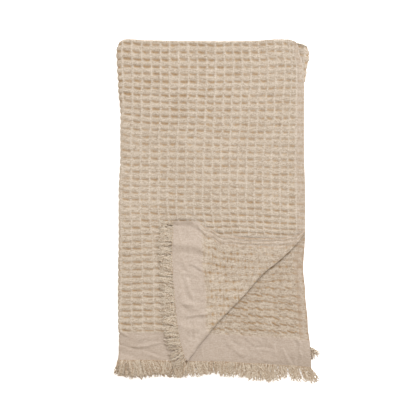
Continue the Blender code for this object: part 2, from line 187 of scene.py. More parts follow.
# Heights of the two faces over the cloth's middle surface.
CREST = 0.00195
TOP_CREST = 0.00235
PIT_FLOOR = -0.00090
BACK_CREST = 0.00195
BACK_PIT_FLOOR = 0.00020
PLAIN_HALF = 0.00085
EDGE_HALF = 0.00045
EDGE_ROUND = 0.0016
# The selvedge strip is gathered into the corner's roll, so it is fuller there.
ROLL_FULL = 0.0013
ROLL_FULL_REACH = 0.008
UPRIGHT_WIDTH = 0.105
PIT_WIDTH = 0.150
PIT_LEAN = 0.13
PIT_SMILE = 0.05
BACK_PIT = (0.210, 0.165)
BACK_FURROW = 0.120
BACK_THREAD = 0.100
ROPE_LEAN = 0.30
ROPE_END = 0.20
# Where the front's relief changes. From the middle up the pits are shallower, but deepest in the upper
# left. Towards the hem they are narrower, the upright ridges fainter and the rows straighter.
PIT_DEPTH = 0.80
PIT_SHALLOWER = 0.07
PIT_DEEPER = 0.18
SHALLOWER_V = (0.32, 0.42)
DEEPER_V = (0.49, 0.63)
DEEPER_U = (0.02, 0.30)
BROAD_PIT = 0.38
LOW_V = (0.405, 0.285)
LOW_NARROWER = 0.22
LOW_UPRIGHT = 0.45
SCALLOP_V = (0.30, 0.42)


def ease(t):
    """0 to 1, level at both ends."""
    t = np.clip(t, 0.0, 1.0)
    return t * t * (3 - 2 * t)


def ramp(at, start, end):
    """0 at the start and 1 at the end, level at both."""
    return ease((at - start) / (end - start))


def bell(t):
    """1 at 0, and next to nothing from 2 on."""
    return np.exp(-(t**2))


def read_table(table, at, column):
    """A column of a table at places between its rows, in smooth steps."""
    rows = np.array(table)
    places, values = rows[:, 0], rows[:, column]
    at = np.clip(at, places[0], places[-1])
    low = np.clip(np.searchsorted(places, at) - 1, 0, len(places) - 2)
    share = ease((at - places[low]) / (places[low + 1] - places[low]))
    return values[low] + share * (values[low + 1] - values[low])


def fold_in_half(v, w):
    """(y, h): the place along the folded length, and the height over the pair's middle plane."""
    turned = v - FRONT_LENGTH
    angle = np.clip(turned / HALF_RADIUS, 0, math.pi)
    reach = HALF_RADIUS + w
    level = HALF_AXIS_Y + np.minimum(0, turned) - np.maximum(0, turned - HALF_ARC)
    return level + reach * np.sin(angle), reach * np.cos(angle)


def fold_in_thirds(u, h):
    """(x, z) of points h above the pair's middle plane, in the stack of thirds."""
    left = np.clip((u - LEFT_FOLD_U) / THIRD_RADIUS, 0, math.pi)
    right = np.clip((u - RIGHT_FOLD_U) / THIRD_RADIUS, 0, math.pi)
    upper, lower = THIRD_RADIUS + h, THIRD_RADIUS - h
    x = LEFT_AXIS_X + np.maximum(0, LEFT_FOLD_U - u) - upper * np.sin(left)
    z = TOP_Z - THIRD_RADIUS + upper * np.cos(left)
    right_x = LEFT_AXIS_X + np.clip(u - MIDDLE_U, 0, MIDDLE_WIDTH) + lower * np.sin(right)
    right_x = right_x - np.maximum(0, u - BOTTOM_U)
    right_z = MIDDLE_Z - THIRD_RADIUS + lower * np.cos(right)
    return np.where(u > MIDDLE_U, right_x, x), np.where(u > MIDDLE_U, right_z, z)


def beyond_roll(u, v):
    """How far points of the front top layer lie past the axis of the corner's roll, in the flat."""
    x = FOLDED_RIGHT - u - ROLL_START[0]
    y = HEM_Y + v - ROLL_START[1]
    return x * ROLL_OUT[0] + y * ROLL_OUT[1] + ROLL_RADIUS + THICK / 2


def turn_corner_back(x, y, z, w, beyond):
    """The points beyond the roll's axis are rolled up and over, and the others stay."""
    level = TOP_Z + HALF_RADIUS
    rolled = beyond > 0
    past = np.maximum(0, beyond - ROLL_ARC)
    angle = np.clip(beyond / ROLL_RADIUS, 0, math.pi)
    reach = ROLL_RADIUS - w
    out = np.where(rolled, reach * np.sin(angle) - beyond - CORNER_STRETCH * past, 0)
    lift = PITCH + (2 * ROLL_RADIUS - PITCH) * np.exp(-past / ROLL_SETTLE)
    rolled_z = np.where(past > 0, level + lift - w, level + ROLL_RADIUS - reach * np.cos(angle))
    x = x + ROLL_OUT[0] * out + ROLL_ALONG[0] * CORNER_SHEAR * past
    y = y + ROLL_OUT[1] * out + ROLL_ALONG[1] * CORNER_SHEAR * past
    return x, y, np.where(rolled, rolled_z, z)


def corner_shift(x, y, u, v, on_corner):
    """How far the front top layer strays round its roll and at its turned corner, as (dx, dy)."""
    from_x, from_y = x - ROLL_START[0], y - ROLL_START[1]
    out = from_x * ROLL_OUT[0] + from_y * ROLL_OUT[1]
    along = from_x * ROLL_ALONG[0] + from_y * ROLL_ALONG[1]
    bow = read_table(ROLL_BOW, along / ROLL_LENGTH, 1) * ease(1 - np.abs(out) / ROLL_BOW_REACH)
    at_hem = read_table(CORNER_HEM, u, 1) * ease(1 - v / CORNER_EDGE_REACH)
    at_selvedge = read_table(CORNER_SELVEDGE, v, 1) * ease(1 - u / CORNER_EDGE_REACH)
    return ROLL_OUT[0] * bow + at_hem * on_corner, ROLL_OUT[1] * bow + at_selvedge * on_corner


def edge_shift(x, y, top_share, on_front, on_corner):
    """How far the cloth strays from its straight folded place, as (dx, dy)."""
    across = (x - FOLDED_LEFT) / (FOLDED_RIGHT - FOLDED_LEFT)
    outer = np.maximum(0, across)
    low_share = 1 - top_share
    near_top = ease(1 - (FOLDED_TOP - y) / END_REACH)
    near_hem = ease(1 - (y - HEM_Y) / END_REACH)
    left, right, selvedge, fold_edge = (read_table(SIDES, y, column) for column in range(1, 5))
    top, front_hem, back_hem, low_hem = (read_table(ENDS, x, column) for column in range(1, 5))
    own_dx = (top_share * selvedge + low_share * fold_edge) * outer**SELVEDGE_GATHER
    own_dy = (top_share * np.where(on_front, front_hem, back_hem) + low_share * low_hem) * near_hem
    dx = left * (1 - across) + right * across + (1 - on_corner) * own_dx
    dy = top * near_top + (1 - on_corner) * own_dy
    dy = dy - low_share * LOWER_CORNER_DROP * outer**LOWER_CORNER_GATHER * near_top
    from_top = np.maximum(0, 1 - (FOLDED_TOP - y) / CORNER_ROUND)
    from_left = np.maximum(0, 1 - (x - FOLDED_LEFT) / CORNER_ROUND)
    from_right = np.maximum(0, 1 - (FOLDED_RIGHT - x) / CORNER_ROUND)
    pull = CORNER_PULL * from_top**2
    return dx + pull * (from_left**2 - from_right**2), dy - pull * (from_left**2 + from_right**2)


def loft(x, y):
    """The share by which the stack stands higher than its flat layers at these places."""
    share = 1 + sum(
        height * np.sin(2 * math.pi * (x / across + y / along) + phase)
        for height, across, along, phase in WAVES
    )
    for distance in (x - FOLDED_LEFT, FOLDED_RIGHT - x, FOLDED_TOP - y):
        share = share + FOLD_LOFT * np.exp(-np.maximum(0, distance) / FOLD_LOFT_REACH)
    return share


def fold(u, v, w):
    """Where points of the flat cloth come to lie in level layers, before they settle, as (x, y, z)."""
    y, h = fold_in_half(v, w)
    x, z = fold_in_thirds(u, h)
    top_share = 1 - ease((u - LEFT_FOLD_U) / THIRD_ARC)
    on_front = v <= FRONT_LENGTH
    can_roll = on_front & (u <= LEFT_FOLD_U)
    beyond = np.where(can_roll, beyond_roll(u, v), -1.0)
    on_corner = ease(beyond / ROLL_ARC)
    x, y, z = turn_corner_back(x, y, z, w, beyond)
    dx, dy = edge_shift(x, y, top_share, on_front, on_corner)
    corner_dx, corner_dy = corner_shift(x, y, u, v, on_corner)
    return x + dx + corner_dx * can_roll, y + dy + corner_dy * can_roll, z


def settle(x, y, z):
    """Raises or lowers points with the stack at their place, so that no layer crosses another."""
    past_lower_hems = HEM_Y + read_table(ENDS, x, 4) - SAG_START - y
    past_hem = np.maximum(0, HEM_Y + read_table(ENDS, x, 3) - y)
    under = np.minimum(z, TOP_PAIR_FLOOR) * (1 - SAG_SHARE * ease(past_lower_hems / SAG_REACH))
    above = np.maximum(0, z - TOP_PAIR_FLOOR) * (1 - SQUEEZE_SHARE * past_hem / SQUEEZE_REACH)
    return np.stack((x - CENTRE[0], y - CENTRE[1], (under + above) * loft(x, y)), axis=-1)


# ---- the weave's lattice and relief


def cell_noise(seed):
    """A smooth random field over the cells, from -1 to 1, as a function of k and m."""
    lattice = np.random.default_rng(seed).uniform(-1, 1, (COLUMNS + 24, ROWS + 24))

    def field(k, m):
        k, m = k + 10, m + 10
        k0 = np.clip(np.floor(k).astype(int), 0, lattice.shape[0] - 2)
        m0 = np.clip(np.floor(m).astype(int), 0, lattice.shape[1] - 2)
        a, b = ease(k - k0), ease(m - m0)
        low = lattice[k0, m0] * (1 - a) + lattice[k0 + 1, m0] * a
        high = lattice[k0, m0 + 1] * (1 - a) + lattice[k0 + 1, m0 + 1] * a
        return low * (1 - b) + high * b

    return field


def cell_chance(seed):
    """A random number for each cell, from -1 to 1, as a function of k and m."""
    lattice = np.random.default_rng(seed).uniform(-1, 1, (COLUMNS + 4, ROWS + 12))

    def value(k, m):
        k0 = np.clip(np.floor(k).astype(int) + 2, 0, lattice.shape[0] - 1)
        m0 = np.clip(np.floor(m).astype(int) + 6, 0, lattice.shape[1] - 1)
        return lattice[k0, m0]

    return value


column_noise, row_noise, small_noise, wrinkle_noise = map(cell_noise, range(11, 15))
pit_chance, slant_chance, place_chance, width_chance, tilt_chance = map(cell_chance, range(21, 26))


def columns_in(k):
    """How many columns a place is in from the nearer selvedge strip, below 0 inside it."""
    return np.minimum(k, COLUMNS - k)


def rows_in(m):
    """How many rows a place is in from the nearer plain band, below 0 inside it."""
    return np.minimum(m, ROWS - m)


def column_place(k):
    """u of a line of the lattice, before it strays."""
    grown = np.clip(k, 0, GROWING_COLUMNS)
    u = SELVEDGE_WIDTH * (1 + np.clip(k, -1, 0)) + COLUMN_FIRST * grown + COLUMN_GROWTH * grown**2
    last_grown = SELVEDGE_WIDTH + COLUMN_FIRST * GROWING_COLUMNS + COLUMN_GROWTH * GROWING_COLUMNS**2
    even = (CLOTH_WIDTH - SELVEDGE_WIDTH - last_grown) / (COLUMNS - GROWING_COLUMNS)
    u = u + np.clip(k - GROWING_COLUMNS, 0, COLUMNS - GROWING_COLUMNS) * even
    return u + np.clip(k - COLUMNS, 0, 1) * SELVEDGE_WIDTH


def row_place(m):
    """v of a line of the lattice, before it strays."""
    grown = np.maximum(rows_in(m), 0)
    band = BAND_WIDTH * (1 + np.minimum(rows_in(m), 0) / BAND_CELLS)
    v = band + ROW_FIRST * grown + ROW_GROWTH * grown**2
    return np.where(m > ROWS / 2, CLOTH_LENGTH - v, v)


# How far the front's woven lines stray, in millimetres: the columns to the right, the rows downwards.
DRIFT = MILLIMETRE * np.array((
    # v, columns left, columns middle, columns right, rows left, rows middle, rows right
    (280, 0.0, 0.0, 0.0, 0.0, 0.0, 4.0),
    (333, 0.0, 0.0, 0.0, 0.0, 2.4, 9.0),
    (380, 0.0, 0.0, 0.0, -2.4, 2.4, 9.4),
    (427, 0.0, 0.0, 0.0, -2.4, 2.4, 7.1),
    (475, -2.0, 1.0, 1.0, -2.4, 1.9, 5.9),
    (522, -3.0, 2.0, 3.7, -4.7, 3.3, 5.2),
    (569, -0.7, 5.5, 6.4, -4.7, 5.2, 5.2),
    (616, 2.0, 7.5, 8.5, 0.0, 4.0, 4.3),
    (663, 6.2, 11.5, 14.4, 4.0, 4.0, 4.0),
    (711, 7.1, 14.1, 22.6, 3.5, 3.5, 3.5),
    (761, 7.1, 14.1, 22.6, 3.0, 3.0, 3.0),
))
DRIFT_EDGE = 0.060
DRIFT_END = 0.90
# Towards the hems the columns lie closer together near the selvedge, and on the turned corner the rows
# lie wider apart.
HEM_DRAW = 0.11
HEM_DRAW_V = (0.38, 0.20)
HEM_DRAW_U = (0.45, 0.25)
CORNER_ROWS = 0.06
STRAY_EDGE = 0.030
COLUMN_STRAY = 0.0011
ROW_STRAY = 0.0012
ROW_SCALLOP = 0.0014
LONG_STRAY = 0.0016
LONG_CELLS = 6.0


def drift(u, v, first):
    """A bend through three columns of the drift table: at the left fold, in the middle, at the right."""
    share = np.clip(1 - u / LEFT_FOLD_U, 0, 1)
    left, middle, right = (read_table(DRIFT, v, first + step) for step in range(3))
    bend = middle - (left + right) / 2
    found = left * (1 - share) + right * share + bend * 4 * share * (1 - share)
    return found * ease(1 - (u - LEFT_FOLD_U) / DRIFT_EDGE) * ramp(v, DRIFT_END, FRONT_LENGTH)


def draw_in(u, v):
    """How far the columns and the rows are drawn in towards the hems near the top selvedge, as (du, dv)."""
    from_hem = np.minimum(v, CLOTH_LENGTH - v)
    near = ramp(from_hem, *HEM_DRAW_V) * ramp(u, *HEM_DRAW_U)
    row_shift = CORNER_ROWS * np.maximum(0, v - BAND_WIDTH) * (v < FRONT_LENGTH)
    return -HEM_DRAW * np.maximum(0, u - SELVEDGE_WIDTH) * near, row_shift * near


def lattice_place(k, m):
    """(u, v) of points of the lattice, strayed as the woven lines do."""
    u, v = column_place(k), row_place(m)
    du, dv = draw_in(u, v)
    inside = ease(u / STRAY_EDGE) * ease((CLOTH_WIDTH - u) / STRAY_EDGE)
    inside = inside * ease(v / STRAY_EDGE) * ease((CLOTH_LENGTH - v) / STRAY_EDGE)
    waffle = 1 - plain_share(k, m)
    scallop = 1 - (2 * (k - np.floor(k)) - 1) ** 2
    to_right = drift(u, v, 1) * ease(u / DRIFT_EDGE)
    down = drift(u, v, 4) * ease((v - BAND_WIDTH) / DRIFT_EDGE)
    u = u + du - to_right + COLUMN_STRAY * column_noise(k, m * 0.5) * inside
    v = v + dv - down + ROW_STRAY * row_noise(k * 0.6, m) * inside
    v = v + LONG_STRAY * row_noise(k / LONG_CELLS, m / LONG_CELLS) * inside
    bend = ROW_SCALLOP * (0.25 + 0.75 * ramp(v, *SCALLOP_V))
    v = v - bend * (scallop - 0.5) * inside * waffle * (0.8 + 0.5 * slant_chance(k, m))
    return u, v


def plain_share(k, m):
    """1 in the plain bands and nearly 1 in the selvedge strips, 0 in the waffle."""
    strip = STRIP_RELIEF + (1 - STRIP_RELIEF) * ramp(columns_in(k), *STRIP_EDGE)
    return 1 - ramp(rows_in(m), *BAND_EDGE) * strip


def strip_ridges(k, m):
    """The wavy ridges that run along the selvedge strips, from -1 to 1 there and 0 elsewhere."""
    from_side = columns_in(k) + 1
    wander = 0.45 * small_noise(np.round(k) * 3, m * 1.3) + 0.12 * small_noise(k * 4, m * 3)
    ridges = np.cos(2 * math.pi * STRIP_RIDGES * (from_side + wander / STRIP_RIDGES) - math.pi)
    return ridges * ease((1 - from_side) / 0.10) * ease(from_side / 0.06)


def pit_row(k, m):
    """How far a point lies from the deepest line of its pit, in rows: the pits lean, bend and stray."""
    side = k - np.floor(k) - 0.5
    lean = PIT_LEAN * (1 + 1.2 * slant_chance(k, m))
    middle = 0.54 + 0.06 * place_chance(k, m) + lean * side + PIT_SMILE * (4 * side**2 - 0.33)
    return m - np.floor(m) - middle


def pit_depth(u, v):
    """How deep the front's pits are."""
    upper_left = ramp(v, *DEEPER_V) * ramp(u, *DEEPER_U)
    shallower = PIT_SHALLOWER * ramp(v, *SHALLOWER_V) * (1 - upper_left)
    return PIT_DEPTH - shallower + PIT_DEEPER * upper_left


def front_relief(k, m, u, v):
    """0 in the bottom of a pit and 1 on a crest of the cloth's front."""
    side = k - np.floor(k) - 0.5
    low = ramp(v, *LOW_V)
    width = PIT_WIDTH * (1 + 0.30 * width_chance(k, m)) * (1 - LOW_NARROWER * low)
    broad = 0.5 - 0.5 * np.cos(2 * math.pi * m)
    depth = (0.84 + 0.16 * pit_chance(k, m)) * (1 + 0.4 * tilt_chance(k, m) * side)
    depth = depth * pit_depth(u, v) * (1 + 0.12 * low)
    share = BROAD_PIT - 0.10 * low
    narrow = bell(pit_row(k, m) / width) * broad**0.3
    pit = np.clip((share * broad + (1 - share) * narrow) * depth, 0, 1)
    upright = bell((k - np.round(k)) / UPRIGHT_WIDTH) * (1 - LOW_UPRIGHT * low)
    crest = 1 + 0.07 * small_noise(k * 1.7, m * 0.9) + 0.06 * upright
    return crest * (1 - pit * (1 - upright))


def back_relief(k, m):
    """0 in the bottom of a pit and 1 on a crest of the cloth's back, whose pits lie behind crossings."""
    cell = k + 0.5, m + 0.5
    on_front = m < ROWS / 2
    rope = ease(1 - (ROWS - m) * ROW_FIRST / ROPE_END)
    across = k - np.round(k)
    along = m - np.round(m) + (0.20 * slant_chance(*cell) + ROPE_LEAN * rope) * across
    along = along + 0.12 * place_chance(*cell)
    across = across + 0.10 * width_chance(*cell)
    between = m - np.floor(m) - 0.5 + 0.10 * place_chance(k + 0.5, m)
    thread = 0.7 + 0.3 * np.cos(2 * math.pi * k) + 0.4 * width_chance(k + 0.5, m)
    pit = bell(across / BACK_PIT[0]) * bell(along / BACK_PIT[1])
    hollows = (
        np.where(on_front, 0.94, 0.98 - 0.16 * rope) * pit,
        np.where(on_front, 0.18, 0.54 + 0.42 * rope) * bell(along / BACK_FURROW),
        np.where(on_front, 0.44, 0.10) * bell(across / BACK_FURROW),
        np.where(on_front, 0.55, 0.34) * bell(between / BACK_THREAD) * thread,
    )
    depth = 0.78 + 0.22 * pit_chance(*cell)
    return 1 - np.maximum.reduce(hollows) * depth + 0.08 * small_noise(k * 1.7, m * 1.7)


def edge_share(k, m):
    """0 at the cloth's cut edges, 1 a little way in."""
    from_side = (columns_in(k) + 1) * SELVEDGE_WIDTH
    from_end = (rows_in(m) + BAND_CELLS) * BAND_WIDTH / BAND_CELLS
    return np.sqrt(np.clip(np.minimum(from_side, from_end) / EDGE_ROUND, 0, 1))


# ---- creases

# Soft ridges and troughs of the cloth between two places in the flat, in millimetres: u, v and u, v of
# the ends, half width, and height along w. On the turned corner, which lies face down, a ridge has a
# height below 0.
FRONT_CREASES = MILLIMETRE * np.array((
    # the front band, left of the turned corner
    (408, 32, 366, 32, 2.5, 2.5), (370, 33, 338, 43, 2.3, 2.3), (440, 33, 395, 27, 2.3, -1.7),
    (400, 26, 364, 27, 2.7, -1.7), (384, 24, 352, 15, 3.6, -1.7), (401, 34, 383, 54, 2.3, 2),
    (392, 36, 372, 53, 2.3, -1.7), (435, 71, 416, 56, 2.7, 2.3), (440, 65, 418, 51, 2.7, -1.7),
    (376, 42, 345, 45, 2.5, -1.7), (381, 19, 340, 4, 3.6, 1.7), (436, 19, 392, 8, 5.4, -1.7),
    # the band of the turned corner, from its top down
    (-3, -12, -2, 60, 9, -5.3), (5, -2, 9, 38, 2.8, 1.7), (9, 36, 0, 58, 2.8, 1.4),
    (3, 44, 17, 78, 3.6, -1.7), (10, 34, 21, 66, 3.2, 1.3), (37, -10, 43, 80, 14, -3.6),
    (42, -4, 48, 76, 6, -2.3), (58, 6, 60, 76, 4, 1.6), (63, 24, 63, 70, 2.6, -1.4),
    (79, 37, 88, 60, 2, -2.9), (83, 38, 93, 60, 1.7, 1.8), (74, 6, 94, 35, 2, 1.8),
    (102, 24, 107, 56, 2.3, 1.8), (106, 19, 144, 31, 2.3, 1.8), (108, 30, 142, 40, 2.7, -2.2),
    (136, 27, 151, 39, 2.2, 1.8), (149, 36, 152, 62, 2.7, 1.8), (156, 12, 158, 44, 3.6, -2.9),
    (160, 18, 174, 34, 2.3, 1.8), (182, 22, 178, 70, 2.7, -2.6), (189, 20, 186, 66, 4, 1.8),
    (221, 18, 232, 46, 2, 1.8), (205, 4, 212, 48, 5.4, -1.8),
    # the selvedge of the turned corner
    (3, 85, 0, 300, 4, -1.4), (9, 80, 6, 300, 2.2, 1.1), (14, 75, 10, 300, 2.6, -1.1),
    (21, 70, 16, 300, 2.6, 1.3),
))
# On the back half, v is measured from the back hem, and a ridge of the side that shows has a height
# below 0 too.
BACK_CREASES = MILLIMETRE * np.array((
    (0, 305, 31, 270, 3.5, -1.6), (56, 37, 36, 2, 2.7, 1.3), (62, 38, 44, 4, 3.6, -2),
    (136, 66, 108, 45, 2, 1.3), (132, 61, 106, 48, 2, -1.6), (142, 60, 120, 40, 2.2, -1.4),
    (146, 56, 126, 39, 2.2, 1.3), (122, 37, 82, 38, 2.7, 1.3), (124, 32, 86, 32, 3.2, -1.6),
    (138, 38, 136, 2, 4.5, 1.3), (32, 62, 28, 34, 2.7, 1.3), (24, 60, 20, 20, 2.7, -1.7),
    (17, 60, 15, 22, 2.3, 1.3), (94, 58, 72, 18, 4.5, -1.4), (184, 44, 148, 14, 4.5, -1.6),
    (176, 50, 152, 36, 2.7, 1.3), (168, 10, 140, 14, 4.5, 1.3), (104, 8, 64, 12, 4.5, -1.3),
))
CREASE_SWING = 0.0035
WRINKLE = 0.0013


def creases(u, v, k, m, plain):
    """How far the cloth's middle surface strays along w."""
    wrinkle = 0.45 - np.abs(wrinkle_noise(k * 0.9, m * 1.3)) - np.abs(wrinkle_noise(k * 1.7 + 5, m * 0.8))
    wrinkle = wrinkle - 0.45 * np.abs(wrinkle_noise(k * 0.7 + m * 1.6, m * 1.9 - k * 1.3))
    found = WRINKLE * wrinkle * plain * ease(rows_in(m) + BAND_CELLS)
    u = u + CREASE_SWING * wrinkle_noise(k * 0.8, m * 0.9 + 3)
    v = v + CREASE_SWING * wrinkle_noise(k * 0.8 + 7, m * 0.9)
    for table, along in ((FRONT_CREASES, v), (BACK_CREASES, CLOTH_LENGTH - v)):
        for from_u, from_v, to_u, to_v, half_width, height in table:
            way = np.array((to_u - from_u, to_v - from_v))
            length = np.hypot(*way)
            reach = ((u - from_u) * way[0] + (along - from_v) * way[1]) / length
            aside = ((u - from_u) * way[1] - (along - from_v) * way[0]) / length
            end = np.minimum(reach, length - reach) / length
            found = found + height * bell(aside / half_width) * ease(2.5 * end + 0.5)
    return found


# ---- the cloth's pieces

IN_COLUMN = (0.0, 0.10, 0.24, 0.42, 0.58, 0.76, 0.90)
IN_ROW = (0.0, 0.17, 0.34, 0.50, 0.66, 0.83)
COARSE_COLUMN = (0.0, 0.12, 0.36, 0.64, 0.88)
COARSE_ROW = (0.0, 0.27, 0.50, 0.73)
IN_STRIP = (0.0, 0.05, *(0.12 + 0.08 * step for step in range(11)))
ARC_STEPS = 12
LEAST_STEP = 0.012
OVER_FLOOR = 0.0001


def lines_between(low, high, arc, coarse, fine=(), fine_from=0, fine_to=0):
    """The lattice lines from low to high: finer in one stretch, and in even steps round a fold."""
    found = [low, high]
    for whole in range(math.floor(low), math.ceil(high)):
        steps = fine if fine_from <= whole < fine_to else coarse
        found += [whole + step for step in steps]
    if arc:
        start, end = arc
        found = [line for line in found if not start < line < end or line in (low, high)]
        found += [start + (end - start) * step / ARC_STEPS for step in range(ARC_STEPS + 1)]
    found = sorted(line for line in {round(line, 5) for line in found} if low <= line <= high)
    kept = [found[0]]
    for line in found[1:]:
        if line - kept[-1] > LEAST_STEP:
            kept.append(line)
    kept[-1] = round(high, 5)
    return np.array(kept)


def place_to_line(place, place_of, low, high):
    """The lattice line at a place, by halving."""
    for _ in range(40):
        middle = (low + high) / 2
        low, high = (middle, high) if place_of(middle) < place else (low, middle)
    return (low + high) / 2


K_LEFT, K_MIDDLE, K_RIGHT, K_BOTTOM = (
    place_to_line(u, column_place, -1, COLUMNS + 1) for u in (LEFT_FOLD_U, MIDDLE_U, RIGHT_FOLD_U, BOTTOM_U)
)
M_HALF, M_BACK = (
    place_to_line(v, row_place, -BAND_CELLS, ROWS + BAND_CELLS)
    for v in (FRONT_LENGTH, FRONT_LENGTH + HALF_ARC)
)


def cloth_points(k, m):
    """The cloth's front and back over a grid of lattice lines: places, and three marks for the shader."""
    k, m = np.meshgrid(k, m, indexing="ij")
    u, v = lattice_place(k, m)
    plain = plain_share(k, m)
    edge = edge_share(k, m)
    on_top = (u < LEFT_FOLD_U) & (v < FRONT_LENGTH)
    crest = np.where(on_top, TOP_CREST, CREST)
    relief, relief_behind = front_relief(k, m, u, v), back_relief(k, m)
    front = PIT_FLOOR + (crest - PIT_FLOOR) * relief
    behind = BACK_PIT_FLOOR + (BACK_CREST - BACK_PIT_FLOOR) * relief_behind
    rolled = on_top * bell((beyond_roll(u, v) - ROLL_ARC / 2) / ROLL_FULL_REACH)
    front = front * (1 - plain) + PLAIN_HALF * plain
    behind = behind * (1 - plain) + (PLAIN_HALF + ROLL_FULL * rolled) * plain
    ridges = strip_ridges(k, m) * ramp(rows_in(m), -2, 0)
    front = EDGE_HALF + (front - EDGE_HALF) * edge + STRIP_RIDGE * RIDGE_IN_FRONT * ridges
    behind = EDGE_HALF + (behind - EDGE_HALF) * edge + STRIP_RIDGE * ridges
    # Painted shade: the strip's ridges also go into the relief that the shader colours.
    relief = relief + RIDGE_PAINTED_SHADES[0] * ridges
    relief_behind = relief_behind + RIDGE_PAINTED_SHADES[1] * ridges
    plain = plain * (1 - STRIP_TINT * ramp(columns_in(k), *STRIP_TINT_EDGE) * (rows_in(m) > 0))
    stray = creases(u, v, k, m, plain)
    faces = []
    for w, shown, side in ((front, relief, 0.0), (-behind, relief_behind, 1.0)):
        places = settle(*fold(u, v, w + stray))
        places[..., 2] = np.maximum(places[..., 2], OVER_FLOOR)
        flat = np.stack((u, v, w), axis=-1)
        cell = np.stack((k, m, shown), axis=-1)
        kind = np.stack((plain, np.full_like(u, side), side * (m < ROWS / 2)), axis=-1)
        faces.append((places, flat, cell, kind))
    return (np.concatenate([part.reshape(-1, 3) for part in parts]) for parts in zip(*faces))


def close_grid(columns, rows):
    """The quads of a closed sheet, its front, its back and four narrow walls, and its rim's edges."""
    index = np.arange(columns * rows).reshape(columns, rows)
    back = index + columns * rows

    def quads(grid):
        corners = (grid[:-1, :-1], grid[1:, :-1], grid[1:, 1:], grid[:-1, 1:])
        return np.stack([corner.ravel() for corner in corners], axis=-1)

    rim = np.concatenate((index[:-1, 0], index[-1, :-1], index[:0:-1, -1], index[0, ::-1]))
    rim_behind = rim + columns * rows
    walls = np.stack((rim[:-1], rim_behind[:-1], rim_behind[1:], rim[1:]), axis=-1)
    edges = np.concatenate((walls[:, [0, 3]], walls[:, [1, 2]]))
    return np.concatenate((quads(index), quads(back)[:, ::-1], walls)), edges


def add_object(name, data):
    made = bpy.data.objects.new(name, data)
    bpy.context.scene.collection.objects.link(made)
    return made


def mesh_object(name, places, faces, sharp=()):
    """A smooth-shaded object of points and groups of faces, with the given edges kept sharp."""
    mesh = bpy.data.meshes.new(name)
    mesh.vertices.add(len(places))
    mesh.vertices.foreach_set("co", places.astype(np.float32).ravel())
    corners = np.concatenate([group.ravel() for group in faces])
    sizes = np.concatenate([np.full(len(group), group.shape[1]) for group in faces])
    mesh.loops.add(len(corners))
    mesh.loops.foreach_set("vertex_index", corners.astype(np.int32))
    mesh.polygons.add(len(sizes))
    mesh.polygons.foreach_set("loop_start", (np.cumsum(sizes) - sizes).astype(np.int32))
    mesh.update(calc_edges=True)
    mesh.shade_smooth()
    if len(sharp):
        pairs = np.empty(len(mesh.edges) * 2, dtype=np.int32)
        mesh.edges.foreach_get("vertices", pairs)

        def key(edges):
            edges = np.sort(edges, axis=1).astype(np.int64)
            return edges[:, 0] * len(places) + edges[:, 1]

        marks = mesh.attributes.new("sharp_edge", "BOOLEAN", "EDGE")
        marks.data.foreach_set("value", np.isin(key(pairs.reshape(-1, 2)), key(sharp)))
    return add_object(name, mesh)


def mark_points(made, name, values):
    """A named attribute on an object's points, a vector each."""
    layer = made.data.attributes.new(name, "FLOAT_VECTOR", "POINT")
    layer.data.foreach_set("vector", values.astype(np.float32).ravel())


def make_cloth(name, k, m, material):
    """One piece of the cloth over a grid of lattice lines."""
    places, *marks = cloth_points(k, m)
    quads, rim = close_grid(len(k), len(m))
    made = mesh_object(name, places, [quads], rim)
    for mark, values in zip(("flat", "cell", "kind"), marks):
        mark_points(made, mark, values)
    made.data.materials.append(material)
    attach(made, "root")
    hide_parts("blanket_cloth")
    return made


# ---- materials


class Value:
    """A value inside a node material, reckoned with as numbers are."""

    def __init__(self, nodes, socket):
        self.nodes = nodes
        self.socket = socket

    def calc(self, operation, *others, clamp=False):
        inputs = dict(enumerate((self, *others)))
        return self.nodes.add("ShaderNodeMath", inputs, operation=operation, use_clamp=clamp)[0]

    def __add__(self, other):
        return self.calc("ADD", other)

    def __sub__(self, other):
        return self.calc("SUBTRACT", other)

    def __rsub__(self, other):
        return self * -1.0 + other

    def __mul__(self, other):
        return self.calc("MULTIPLY", other)

    def clamped(self):
        return self.calc("ADD", 0.0, clamp=True)


class Nodes:
    """A node material with its principled shader and ways to add nodes."""

    def __init__(self, name):
        self.material = bpy.data.materials.new(name)
        self.material.use_nodes = True
        self.tree = self.material.node_tree
        self.shader = self.tree.nodes["Principled BSDF"]

    def feed(self, node, inputs):
        """Links values to a node's inputs, or sets them to plain numbers or colours."""
        for key, value in inputs.items():
            if isinstance(value, Value):
                self.tree.links.new(value.socket, node.inputs[key])
            else:
                node.inputs[key].default_value = value

    def add(self, kind, inputs, **settings):
        """The outputs of a new node."""
        node = self.tree.nodes.new(kind)
        for key, value in settings.items():
            setattr(node, key, value)
        self.feed(node, inputs)
        return [Value(self, socket) for socket in node.outputs]

    def mark(self, name):
        """A vector that the mesh's points carry."""
        return self.add("ShaderNodeAttribute", {}, attribute_name=name)[1]

    def parts(self, vector):
        return self.add("ShaderNodeSeparateXYZ", {0: vector})

    def mixed(self, factor, first, second, blend="MIX"):
        inputs = {0: factor, 6: first, 7: second}
        return self.add("ShaderNodeMix", inputs, data_type="RGBA", blend_type=blend)[2]

    def noise(self, places, scale, detail=2.0, roughness=0.6):
        inputs = {"Vector": places, "Scale": scale, "Detail": detail, "Roughness": roughness}
        return self.add("ShaderNodeTexNoise", inputs)[0]

    def bump(self, height, strength, distance):
        return self.add("ShaderNodeBump", {"Height": height, "Strength": strength, "Distance": distance})[0]


